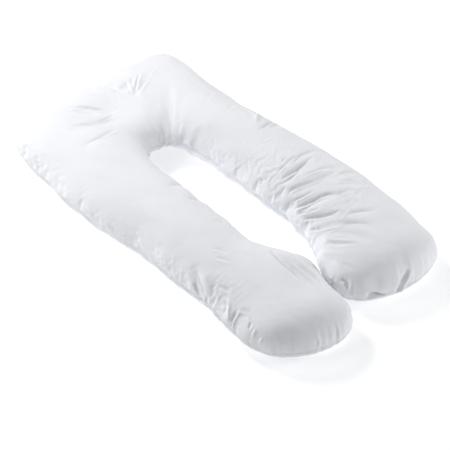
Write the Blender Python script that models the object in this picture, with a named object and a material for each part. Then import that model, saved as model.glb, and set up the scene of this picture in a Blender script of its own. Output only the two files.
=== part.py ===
"""U-shaped pregnancy pillow: one filled cloth body that lies flat on a surface.

Metres, +Z up. The origin is on the surface under the centre of the outline. The closed end
of the U, its head end, points to +Y, and the two arms run back to -Y.

Two U-shaped panels meet in one seam that runs round the whole edge. The body is a loft of
ribs: each rib crosses the filled U from its inner seam to its outer seam, and carries one
rounded section. The arms close in round ends, the underside is pressed flat by the surface,
and the hollows and folds of the cloth are pushed into the upper side.
"""

from typing import NamedTuple

import bmesh
import bpy
import numpy as np

# Driving dimensions, in metres. The underside would hang UNDER_SHARE times the seam's height
# below the seam, and the surface presses it flat. An arm narrows to its round end over its
# END_REACH. Folds fade out between the heights FOLD_FULL and FOLD_FOOT on the sides.
UNDER_SHARE = 1.2
END_REACH_LEFT = 0.150
END_REACH_RIGHT = 0.140
FOLD_FULL = 0.080
FOLD_FOOT = 0.030

# Exponents of the rounded shapes: 2 is an ellipse, more is squarer
END_ROUNDNESS = 2.4
UNDER_FULLNESS = 2.1

# Steps of the loft
RINGS_PER_END = 10
RINGS_BETWEEN = 112
POINTS_AROUND = 40
FINE_STEPS = 2000

# Small uneven gathers along the seam: the lengths and heights of three waves, in metres.
# A higher GATHER_FADE keeps them closer to the seam. One set of phases moves the seam up
# and down and the other moves it in and out.
GATHER_LENGTHS = (0.081, 0.113, 0.197)
GATHER_HEIGHTS = (0.0014, 0.0016, 0.0020)
GATHER_FADE = 6.0
SEAM_PHASE = 0.7
EDGE_PHASE = 1.9

# Share of a fold's depth that is left at its two ends
FOLD_END_SHARE = 0.35

CLOTH_COLOUR = (0.84, 0.85, 0.88, 1.0)
CLOTH_ROUGHNESS = 0.85


class Rib(NamedTuple):
    """One section across the filled U, from the inner seam to the outer seam."""

    outer_x: float
    outer_y: float
    inner_x: float
    inner_y: float
    seam_z: float
    crown: float
    fullness: float


# From the end of the left arm, round the head, to the end of the right arm
RIBS = (
    Rib(-0.340, -0.660, -0.020, -0.736, 0.046, 0.115, 2.2),
    Rib(-0.354, -0.596, -0.024, -0.640, 0.050, 0.111, 2.2),
    Rib(-0.366, -0.528, -0.024, -0.534, 0.057, 0.104, 2.2),
    Rib(-0.368, -0.442, -0.004, -0.442, 0.064, 0.101, 2.2),
    Rib(-0.360, -0.360, -0.038, -0.364, 0.070, 0.097, 2.2),
    Rib(-0.360, -0.268, -0.079, -0.279, 0.071, 0.098, 2.2),
    Rib(-0.364, -0.156, -0.085, -0.156, 0.072, 0.099, 2.2),
    Rib(-0.362, -0.044, -0.085, -0.044, 0.072, 0.101, 2.2),
    Rib(-0.375, 0.068, -0.083, 0.068, 0.072, 0.102, 2.2),
    Rib(-0.389, 0.181, -0.083, 0.170, 0.072, 0.102, 2.2),
    Rib(-0.387, 0.293, -0.079, 0.237, 0.072, 0.101, 2.2),
    Rib(-0.378, 0.415, -0.068, 0.270, 0.072, 0.100, 2.2),
    Rib(-0.372, 0.548, -0.056, 0.290, 0.072, 0.099, 2.1),
    Rib(-0.350, 0.634, -0.046, 0.300, 0.070, 0.099, 2.0),
    Rib(-0.285, 0.684, -0.034, 0.307, 0.070, 0.099, 2.0),
    Rib(-0.166, 0.695, -0.017, 0.312, 0.072, 0.099, 2.1),
    Rib(-0.034, 0.693, -0.001, 0.314, 0.072, 0.100, 2.2),
    Rib(0.109, 0.705, 0.019, 0.312, 0.072, 0.100, 2.1),
    Rib(0.242, 0.699, 0.036, 0.306, 0.070, 0.100, 2.0),
    Rib(0.334, 0.670, 0.048, 0.298, 0.070, 0.098, 2.0),
    Rib(0.348, 0.578, 0.058, 0.288, 0.072, 0.098, 2.1),
    Rib(0.332, 0.466, 0.068, 0.270, 0.074, 0.099, 2.2),
    Rib(0.328, 0.344, 0.079, 0.242, 0.074, 0.102, 2.2),
    Rib(0.336, 0.201, 0.086, 0.181, 0.074, 0.103, 2.2),
    Rib(0.356, 0.079, 0.087, 0.068, 0.074, 0.103, 2.2),
    Rib(0.374, -0.044, 0.087, -0.044, 0.074, 0.103, 2.2),
    Rib(0.383, -0.156, 0.087, -0.156, 0.074, 0.103, 2.2),
    Rib(0.387, -0.268, 0.083, -0.268, 0.073, 0.104, 2.2),
    Rib(0.383, -0.370, 0.058, -0.370, 0.072, 0.105, 2.2),
    Rib(0.383, -0.462, 0.007, -0.462, 0.064, 0.113, 2.2),
    Rib(0.377, -0.554, -0.017, -0.546, 0.056, 0.115, 2.2),
    Rib(0.382, -0.634, -0.023, -0.608, 0.049, 0.120, 2.2),
    Rib(0.386, -0.698, -0.014, -0.658, 0.044, 0.125, 2.2),
)


class Crowd(NamedTuple):
    """A stretch of the U with more rings: its middle as a share of the length."""

    middle: float
    reach: float
    extra: float


CROWDS = (
    Crowd(0.14, 0.16, 0.45),
    Crowd(0.85, 0.22, 0.80),
)


class Hollow(NamedTuple):
    """A soft round dent in the upper side."""

    x: float
    y: float
    radius_x: float
    radius_y: float
    depth: float


HOLLOWS = (
    Hollow(-0.023, 0.507, 0.133, 0.112, 0.030),
    Hollow(-0.207, -0.299, 0.122, 0.112, 0.010),
    Hollow(-0.309, -0.452, 0.092, 0.133, 0.014),
)


class Fold(NamedTuple):
    """A soft trough along a line in plan; a negative depth is a ridge."""

    place: str
    start_x: float
    start_y: float
    end_x: float
    end_y: float
    half_width: float
    depth: float


FOLDS = (
    Fold("right arm, inner half", 0.199, -0.126, 0.305, -0.124, 0.015, 0.008),
    Fold("right arm, inner half", 0.149, -0.170, 0.254, -0.156, 0.016, 0.012),
    Fold("right arm, inner half", 0.144, -0.213, 0.279, -0.260, 0.019, 0.016),
    Fold("right arm, inner half", 0.107, -0.282, 0.234, -0.348, 0.017, 0.013),
    Fold("right arm, inner half", 0.091, -0.332, 0.144, -0.400, 0.016, 0.010),
    Fold("right arm, inner half", 0.077, -0.364, 0.181, -0.504, 0.016, 0.010),
    Fold("right arm, crown", 0.248, -0.218, 0.317, -0.236, 0.014, 0.007),
    Fold("right arm, crown", 0.257, -0.276, 0.325, -0.276, 0.014, 0.006),
    Fold("right arm, crown", 0.247, -0.302, 0.309, -0.346, 0.015, 0.008),
    Fold("right arm, crown", 0.171, -0.430, 0.231, -0.462, 0.015, 0.006),
    Fold("right arm, inner side", 0.059, -0.374, 0.136, -0.531, 0.016, 0.008),
    Fold("right arm, inner side", 0.035, -0.424, 0.089, -0.522, 0.016, 0.008),
    Fold("right arm, end", -0.006, -0.551, 0.009, -0.610, 0.016, 0.014),
    Fold("right arm, end", 0.044, -0.631, 0.092, -0.653, 0.016, 0.013),
    Fold("right arm, end", 0.189, -0.624, 0.162, -0.688, 0.018, 0.017),
    Fold("right arm, shoulder", 0.295, 0.141, 0.244, 0.093, 0.015, -0.007),
    Fold("right arm, shoulder", 0.243, 0.060, 0.327, 0.056, 0.015, 0.009),
    Fold("left arm, outer half", -0.327, -0.260, -0.367, -0.328, 0.015, 0.014),
    Fold("left arm, outer half", -0.313, -0.288, -0.353, -0.350, 0.015, -0.008),
    Fold("left arm, outer half", -0.319, -0.404, -0.371, -0.462, 0.016, -0.010),
    Fold("left arm, outer half", -0.345, -0.464, -0.323, -0.504, 0.015, 0.008),
    Fold("left arm, inner side", -0.111, -0.412, -0.123, -0.516, 0.018, 0.007),
    Fold("left arm, inner side", -0.151, 0.058, -0.097, 0.062, 0.018, 0.010),
    Fold("left arm, inner side", -0.145, -0.032, -0.099, -0.028, 0.017, 0.008),
    Fold("head", 0.028, 0.556, 0.109, 0.563, 0.016, 0.007),
    Fold("head", 0.049, 0.527, 0.141, 0.559, 0.015, -0.006),
    Fold("head", 0.011, 0.652, 0.037, 0.592, 0.015, 0.006),
    Fold("head", -0.027, 0.642, -0.005, 0.592, 0.015, 0.005),
    Fold("head", -0.123, 0.580, -0.079, 0.525, 0.015, 0.007),
    Fold("head", -0.159, 0.576, -0.113, 0.519, 0.015, 0.004),
    Fold("head", -0.185, 0.485, -0.099, 0.477, 0.015, 0.007),
    Fold("head", -0.243, 0.379, -0.151, 0.390, 0.017, 0.007),
)


def along_ribs(distance):
    """Return the rib values at each distance along the middle of the U.

    A cubic runs through each column of the table, with the slope at a rib taken from its
    two neighbours.
    """
    table = np.array(RIBS)
    knots = rib_distances()
    slopes = np.gradient(table, knots, axis=0)
    left = np.clip(np.searchsorted(knots, distance, side="right") - 1, 0, len(knots) - 2)
    span = (knots[left + 1] - knots[left])[:, None]
    t = (distance[:, None] - knots[left][:, None]) / span
    return (
        (2 * t**3 - 3 * t**2 + 1) * table[left]
        + (t**3 - 2 * t**2 + t) * span * slopes[left]
        + (3 * t**2 - 2 * t**3) * table[left + 1]
        + (t**3 - t**2) * span * slopes[left + 1]
    )


def rib_distances():
    """Return how far along the middle of the U each rib lies."""
    middles = np.array([((r.outer_x + r.inner_x) / 2, (r.outer_y + r.inner_y) / 2) for r in RIBS])
    steps = np.linalg.norm(np.diff(middles, axis=0), axis=1)
    return np.concatenate(([0.0], np.cumsum(steps)))


def ring_distances():
    """Return where the rings of the loft stand: closer where the cloth has more folds."""
    length = rib_distances()[-1]
    turn = np.linspace(0.0, np.pi / 2, RINGS_PER_END + 1)[1:]
    near = END_REACH_LEFT * (1.0 - np.cos(turn))
    far = length - END_REACH_RIGHT * (1.0 - np.cos(turn[::-1]))
    fine = np.linspace(near[-1], far[0], FINE_STEPS)
    crowding = np.ones_like(fine)
    for crowd in CROWDS:
        crowding += crowd.extra * np.exp(-(((fine - crowd.middle * length) / crowd.reach) ** 2))
    count = np.concatenate(([0.0], np.cumsum((crowding[1:] + crowding[:-1]) / 2)))
    even = np.linspace(0.0, count[-1], RINGS_BETWEEN + 2)[1:-1]
    return np.concatenate((near, np.interp(even, count, fine), far))


def end_share(distance):
    """Return the share of full size at each distance, from 0 at an arm's end to 1."""
    length = rib_distances()[-1]
    left = np.clip(distance / END_REACH_LEFT, 0.0, 1.0)
    right = np.clip((length - distance) / END_REACH_RIGHT, 0.0, 1.0)
    reach = np.minimum(left, right)
    return (1.0 - (1.0 - reach) ** END_ROUNDNESS) ** (1.0 / END_ROUNDNESS)


def rounded(turn, exponent):
    """Return the two coordinates of a superellipse of unit size at each angle."""
    across = np.sign(np.cos(turn)) * np.abs(np.cos(turn)) ** (2.0 / exponent)
    upward = np.sign(np.sin(turn)) * np.abs(np.sin(turn)) ** (2.0 / exponent)
    return across, upward


def gather(distance, start):
    """Return the small uneven rise and fall along the U, with each wave's phase from start."""
    total = np.zeros_like(distance)
    for length, height in zip(GATHER_LENGTHS, GATHER_HEIGHTS):
        total += height * np.sin(2.0 * np.pi * distance / length + start)
        start *= 2.0
    return total


def section_grid(distance):
    """Return the points of every ring, shaped (rings, points around, 3), before folds."""
    ribs = along_ribs(distance)
    outer = ribs[:, 0:2]
    inner = ribs[:, 2:4]
    seam_z = ribs[:, 4:5]
    crown = ribs[:, 5:6]
    fullness = ribs[:, 6:7]
    share = end_share(distance)
    middle = (outer + inner) / 2
    half = (outer - inner) / 2 * share[:, None]
    turn = 2.0 * np.pi * np.arange(POINTS_AROUND) / POINTS_AROUND
    is_top = np.sin(turn) >= 0.0
    exponent = np.where(is_top, fullness, UNDER_FULLNESS)
    across, upward = rounded(turn[None, :], exponent)
    height = np.where(is_top, crown, UNDER_SHARE * seam_z) * share[:, None]
    at_seam = np.abs(across) ** GATHER_FADE * share[:, None]
    z = seam_z + upward * height + gather(distance, SEAM_PHASE)[:, None] * at_seam
    half_width = np.linalg.norm(half, axis=1)[:, None]
    stretch = across * (1.0 + gather(distance, EDGE_PHASE)[:, None] / half_width * at_seam)
    plan = middle[:, None, :] + stretch[:, :, None] * half[:, None, :]
    return np.concatenate((plan, z[:, :, None]), axis=2)


def outward(grid):
    """Return the unit normals of the grid, which point out of the body."""
    around = np.roll(grid, -1, axis=1) - np.roll(grid, 1, axis=1)
    along = np.gradient(grid, axis=0)
    normal = np.cross(around, along)
    return normal / np.maximum(np.linalg.norm(normal, axis=2, keepdims=True), 1e-9)


def hollow_depth(plan):
    """Return how deep the hollows press at each point of the plan."""
    depth = np.zeros(plan.shape[:-1])
    for hollow in HOLLOWS:
        x = (plan[..., 0] - hollow.x) / hollow.radius_x
        y = (plan[..., 1] - hollow.y) / hollow.radius_y
        depth += hollow.depth * np.exp(-(x**2 + y**2))
    return depth


def fold_depth(plan):
    """Return how deep the folds press at each point of the plan."""
    depth = np.zeros(plan.shape[:-1])
    for fold in FOLDS:
        start = np.array((fold.start_x, fold.start_y))
        run = np.array((fold.end_x, fold.end_y)) - start
        along = np.clip(((plan - start) @ run) / (run @ run), 0.0, 1.0)
        nearest = start + along[..., None] * run
        away = np.linalg.norm(plan - nearest, axis=-1) / fold.half_width
        taper = FOLD_END_SHARE + (1.0 - FOLD_END_SHARE) * np.sin(np.pi * along)
        depth += fold.depth * taper * np.exp(-(away**2))
    return depth


def body_grid():
    """Return the finished rings: pressed flat below, with hollows and folds above."""
    grid = section_grid(ring_distances())
    normal = outward(grid)
    above = np.clip((grid[..., 2] - FOLD_FOOT) / (FOLD_FULL - FOLD_FOOT), 0.0, 1.0)
    pressed = above * (hollow_depth(grid[..., 0:2]) + fold_depth(grid[..., 0:2]))
    grid = grid - normal * pressed[..., None]
    grid[..., 2] = np.maximum(grid[..., 2], 0.0)
    return grid


def end_point(row):
    """Return the point that closes an arm's end, in the middle of its rib."""
    rib = RIBS[row]
    return (
        (rib.outer_x + rib.inner_x) / 2,
        (rib.outer_y + rib.inner_y) / 2,
        rib.seam_z,
    )


def loft(name, rings, first, last):
    """Make a closed mesh from rings of points and the two points that close its ends."""
    shape = bmesh.new()
    rows = [[shape.verts.new(point) for point in ring] for ring in rings]
    for near, far in zip(rows, rows[1:]):
        for i in range(len(near)):
            j = (i + 1) % len(near)
            shape.faces.new((near[i], near[j], far[j], far[i]))
    for row, point in ((rows[0], first), (rows[-1], last)):
        tip = shape.verts.new(point)
        for i in range(len(row)):
            shape.faces.new((row[i], tip, row[(i + 1) % len(row)]))
    bmesh.ops.recalc_face_normals(shape, faces=shape.faces)
    mesh = bpy.data.meshes.new(name)
    shape.to_mesh(mesh)
    shape.free()
    return mesh


def cloth_material():
    """Return the white woven cloth of the two panels."""
    material = bpy.data.materials.new("white_cotton")
    material.use_nodes = True
    surface = material.node_tree.nodes["Principled BSDF"]
    surface.inputs["Base Color"].default_value = CLOTH_COLOUR
    surface.inputs["Roughness"].default_value = CLOTH_ROUGHNESS
    surface.inputs["Metallic"].default_value = 0.0
    return material


def centred(grid, first, last):
    """Return the same points with the middle of their outline over the origin."""
    plan = grid[..., 0:2].reshape(-1, 2)
    middle = np.append((plan.min(axis=0) + plan.max(axis=0)) / 2, 0.0)
    return grid - middle, np.array(first) - middle, np.array(last) - middle


def build_pillow(collection):
    """Add the filled body to the collection."""
    grid, first, last = centred(body_grid(), end_point(0), end_point(-1))
    mesh = loft("filled_u_body", grid, first, last)
    mesh.materials.append(cloth_material())
    mesh.shade_smooth()
    body = bpy.data.objects.new("filled_u_body", mesh)
    collection.objects.link(body)


def main():
    """Clear the scene and build the pillow in its own collection."""
    for existing in list(bpy.data.objects):
        bpy.data.objects.remove(existing, do_unlink=True)
    collection = bpy.data.collections.new("pregnancy_pillow")
    bpy.context.scene.collection.children.link(collection)
    build_pillow(collection)


if __name__ == "__main__":
    main()
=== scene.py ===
"""U-shaped body pillow in plain white woven cotton, for a pale studio floor.

Metres, +Z up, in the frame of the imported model: the closed end of the U points to +Y and its
two arms run back to -Y. The pillow is one filled cloth body of two panels that meet in a seam
round the whole edge. Its surface is a function of two parameters: the distance along the
middle of the U, and the turn round the section from the outer seam over the top panel.

The cloth is built in four steps. A loft of ribs gives the filled shape. A cloth simulation
starts from it, with the two panels' flat cut as the cloth's own size, so that spare width
gathers as it does in a stuffed cover. The result is carried to a finer grid, and the single
creases, the gathers along the seam and the seam's groove are pressed into that. The creases
were picked in the photograph, and its camera carries them onto the cloth.
"""

import logging
import math
from dataclasses import dataclass, field
from enum import Enum
from typing import Any, NamedTuple

import bpy
import numpy as np
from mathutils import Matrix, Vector


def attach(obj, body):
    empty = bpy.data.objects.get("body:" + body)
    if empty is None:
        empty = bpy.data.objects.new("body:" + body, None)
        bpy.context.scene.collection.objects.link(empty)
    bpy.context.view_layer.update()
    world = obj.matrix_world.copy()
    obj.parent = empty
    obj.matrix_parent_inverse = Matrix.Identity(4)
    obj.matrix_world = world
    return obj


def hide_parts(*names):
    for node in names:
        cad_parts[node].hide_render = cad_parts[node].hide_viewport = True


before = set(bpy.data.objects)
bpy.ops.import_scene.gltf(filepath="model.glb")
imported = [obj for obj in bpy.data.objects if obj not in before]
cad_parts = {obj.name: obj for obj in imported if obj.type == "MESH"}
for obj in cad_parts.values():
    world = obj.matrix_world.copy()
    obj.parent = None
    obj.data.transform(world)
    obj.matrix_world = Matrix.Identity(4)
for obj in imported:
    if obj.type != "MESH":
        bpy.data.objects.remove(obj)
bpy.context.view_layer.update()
TINY = 1e-9

# Length of one band of Blender's wave texture at scale 1, and the numbers of a Mix node's
# colour sockets
WAVE_BAND = 0.1 * math.pi
MIX_FIRST, MIX_SECOND, MIX_RESULT = 6, 7, 2

LOG = logging.getLogger("pillow")


class Edge(Enum):
    """The side of the U on which a stretch of seam runs."""

    OUTER = "outer"
    INNER = "inner"


class Panel(Enum):
    """The two cloth panels that the seam joins."""

    TOP = "top"
    UNDER = "under"


class Place(Enum):
    """The part of the pillow that a crease lies on."""

    HEAD = "head"
    RIGHT_SHOULDER = "right shoulder"
    RIGHT_SLOPE = "inner slope of the right arm"
    RIGHT_CROWN = "crown of the right arm"
    RIGHT_SIDE = "inner side of the right arm"
    RIGHT_END = "end of the right arm"
    LEFT_INNER = "inner side of the left arm"
    LEFT_OUTER = "outer side of the left arm"
    LEFT_BEND = "bend of the left arm, near its end"
    LEFT_END = "end of the left arm"


class Rib(NamedTuple):
    """One section across the filled U, from the inner seam to the outer seam, in metres."""

    outer_x: float
    outer_y: float
    inner_x: float
    inner_y: float
    seam_z: float
    crown: float
    fullness: float


class Spot(NamedTuple):
    """A soft round spot of the plan: its middle, its two radii and its height in the middle."""

    x: float
    y: float
    radius_x: float
    radius_y: float
    height: float


class Fold(NamedTuple):
    """A broad soft trough along a line in plan; a negative depth is a ridge."""

    start_x: float
    start_y: float
    end_x: float
    end_y: float
    half_width: float
    depth: float


class Crowd(NamedTuple):
    """A stretch of the U with more rings.

    The middle is a share of the U's length, the reach is in metres, and extra is how much
    denser the rings stand there than elsewhere.
    """

    middle: float
    reach: float
    extra: float


class SeenCrease(NamedTuple):
    """A fine trough where the photograph shows it; a negative depth is a ridge.

    The points are pixels to the right of and below the photograph's top left corner, from the
    crease's deeper end; the width and depth are metres. The side is 1 where the cloth stands
    up on the left of the line's run, -1 where it stands up on the right, and 0 where both
    sides are alike. The hidden run is how many pixels the line is carried back past its first
    point, under what hides it.
    """

    points: tuple[tuple[float, float], ...]
    half_width: float
    depth: float
    side: int
    hidden_run: float = 0.0


class Crease(NamedTuple):
    """The same trough as a line on the cloth, in metres."""

    line: np.ndarray
    half_width: float
    depth: float
    side: int


# From the end of the left arm, round the head, to the end of the right arm
RIBS = (
    Rib(-0.340, -0.660, -0.020, -0.736, 0.046, 0.115, 2.2),
    Rib(-0.354, -0.596, -0.024, -0.640, 0.050, 0.111, 2.2),
    Rib(-0.366, -0.528, -0.024, -0.534, 0.057, 0.104, 2.2),
    Rib(-0.368, -0.442, -0.004, -0.442, 0.064, 0.101, 2.2),
    Rib(-0.360, -0.360, -0.038, -0.364, 0.070, 0.097, 2.2),
    Rib(-0.360, -0.268, -0.079, -0.279, 0.071, 0.098, 2.2),
    Rib(-0.364, -0.156, -0.085, -0.156, 0.072, 0.099, 2.2),
    Rib(-0.362, -0.044, -0.085, -0.044, 0.072, 0.101, 2.2),
    Rib(-0.375, 0.068, -0.083, 0.068, 0.072, 0.102, 2.2),
    Rib(-0.389, 0.181, -0.083, 0.170, 0.072, 0.102, 2.2),
    Rib(-0.387, 0.293, -0.079, 0.237, 0.072, 0.101, 2.2),
    Rib(-0.378, 0.415, -0.068, 0.270, 0.072, 0.100, 2.2),
    Rib(-0.372, 0.548, -0.056, 0.290, 0.072, 0.099, 2.1),
    Rib(-0.350, 0.634, -0.046, 0.300, 0.070, 0.099, 2.0),
    Rib(-0.285, 0.684, -0.034, 0.307, 0.070, 0.099, 2.0),
    Rib(-0.166, 0.695, -0.017, 0.312, 0.072, 0.099, 2.1),
    Rib(-0.034, 0.693, -0.001, 0.314, 0.072, 0.100, 2.2),
    Rib(0.109, 0.705, 0.019, 0.312, 0.072, 0.100, 2.1),
    Rib(0.242, 0.699, 0.036, 0.306, 0.070, 0.100, 2.0),
    Rib(0.334, 0.670, 0.048, 0.298, 0.070, 0.098, 2.0),
    Rib(0.348, 0.578, 0.058, 0.288, 0.072, 0.098, 2.1),
    Rib(0.332, 0.466, 0.068, 0.270, 0.074, 0.099, 2.2),
    Rib(0.328, 0.344, 0.079, 0.242, 0.074, 0.102, 2.2),
    Rib(0.336, 0.201, 0.086, 0.181, 0.074, 0.103, 2.2),
    Rib(0.356, 0.079, 0.087, 0.068, 0.074, 0.103, 2.2),
    Rib(0.374, -0.044, 0.087, -0.044, 0.074, 0.103, 2.2),
    Rib(0.383, -0.156, 0.087, -0.156, 0.074, 0.103, 2.2),
    Rib(0.387, -0.268, 0.083, -0.268, 0.073, 0.104, 2.2),
    Rib(0.383, -0.370, 0.058, -0.370, 0.072, 0.105, 2.2),
    Rib(0.383, -0.462, 0.007, -0.462, 0.064, 0.113, 2.2),
    Rib(0.377, -0.554, -0.017, -0.546, 0.056, 0.115, 2.2),
    Rib(0.382, -0.634, -0.023, -0.608, 0.049, 0.120, 2.2),
    Rib(0.386, -0.698, -0.014, -0.658, 0.044, 0.125, 2.2),
)

# Dents in the upper side, the height being the depth in metres
HOLLOWS = (
    Spot(-0.023, 0.507, 0.133, 0.112, 0.030),
    Spot(-0.207, -0.299, 0.122, 0.112, 0.010),
    Spot(-0.309, -0.452, 0.092, 0.133, 0.014),
)

FOLDS = (
    Fold(0.199, -0.126, 0.305, -0.124, 0.015, 0.008),
    Fold(0.149, -0.170, 0.254, -0.156, 0.016, 0.012),
    Fold(0.144, -0.213, 0.279, -0.260, 0.019, 0.016),
    Fold(0.107, -0.282, 0.234, -0.348, 0.017, 0.013),
    Fold(0.091, -0.332, 0.144, -0.400, 0.016, 0.010),
    Fold(0.077, -0.364, 0.181, -0.504, 0.016, 0.010),
    Fold(0.248, -0.218, 0.317, -0.236, 0.014, 0.007),
    Fold(0.257, -0.276, 0.325, -0.276, 0.014, 0.006),
    Fold(0.247, -0.302, 0.309, -0.346, 0.015, 0.008),
    Fold(0.171, -0.430, 0.231, -0.462, 0.015, 0.006),
    Fold(0.059, -0.374, 0.136, -0.531, 0.016, 0.008),
    Fold(0.035, -0.424, 0.089, -0.522, 0.016, 0.008),
    Fold(-0.006, -0.551, 0.009, -0.610, 0.016, 0.009),
    Fold(0.044, -0.631, 0.092, -0.653, 0.016, 0.009),
    Fold(0.189, -0.624, 0.162, -0.688, 0.018, 0.004),
    Fold(0.295, 0.141, 0.244, 0.093, 0.015, -0.007),
    Fold(0.243, 0.060, 0.327, 0.056, 0.015, 0.009),
    Fold(-0.327, -0.260, -0.367, -0.328, 0.015, 0.014),
    Fold(-0.313, -0.288, -0.353, -0.350, 0.015, -0.008),
    Fold(-0.319, -0.404, -0.371, -0.462, 0.016, -0.010),
    Fold(-0.345, -0.464, -0.323, -0.504, 0.015, 0.008),
    Fold(-0.111, -0.412, -0.123, -0.516, 0.018, 0.007),
    Fold(-0.151, 0.058, -0.097, 0.062, 0.018, 0.010),
    Fold(-0.145, -0.032, -0.099, -0.028, 0.017, 0.008),
    Fold(0.028, 0.556, 0.109, 0.563, 0.016, 0.007),
    Fold(0.049, 0.527, 0.141, 0.559, 0.015, -0.006),
    Fold(0.011, 0.652, 0.037, 0.592, 0.015, 0.006),
    Fold(-0.027, 0.642, -0.005, 0.592, 0.015, 0.005),
    Fold(-0.123, 0.580, -0.079, 0.525, 0.015, 0.007),
    Fold(-0.159, 0.576, -0.113, 0.519, 0.015, 0.004),
    Fold(-0.185, 0.485, -0.099, 0.477, 0.015, 0.007),
    Fold(-0.243, 0.379, -0.151, 0.390, 0.017, 0.007),
)

# Where cloth is spare: a height of 0 is cut to fit and 1 is loosest
SLACKS = (
    Spot(0.170, -0.256, 0.130, 0.240, 1.0),
    Spot(-0.330, -0.386, 0.090, 0.150, 0.15),
    Spot(-0.100, -0.016, 0.060, 0.300, 0.5),
    Spot(0.050, 0.534, 0.200, 0.120, 0.2),
    Spot(0.100, -0.626, 0.250, 0.100, 0.35),
    Spot(0.320, 0.114, 0.100, 0.120, 0.25),
)

# Pixels by which the inner slope's creases run on below, where they are hidden
HIDDEN_RUN = 12.0

# What the depth of every crease at these places is multiplied by; elsewhere it is 1
DEEPER = {
    Place.RIGHT_SLOPE: 1.25,
    Place.RIGHT_CROWN: 1.25,
    Place.RIGHT_SHOULDER: 1.2,
    Place.LEFT_BEND: 1.3,
}

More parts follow.
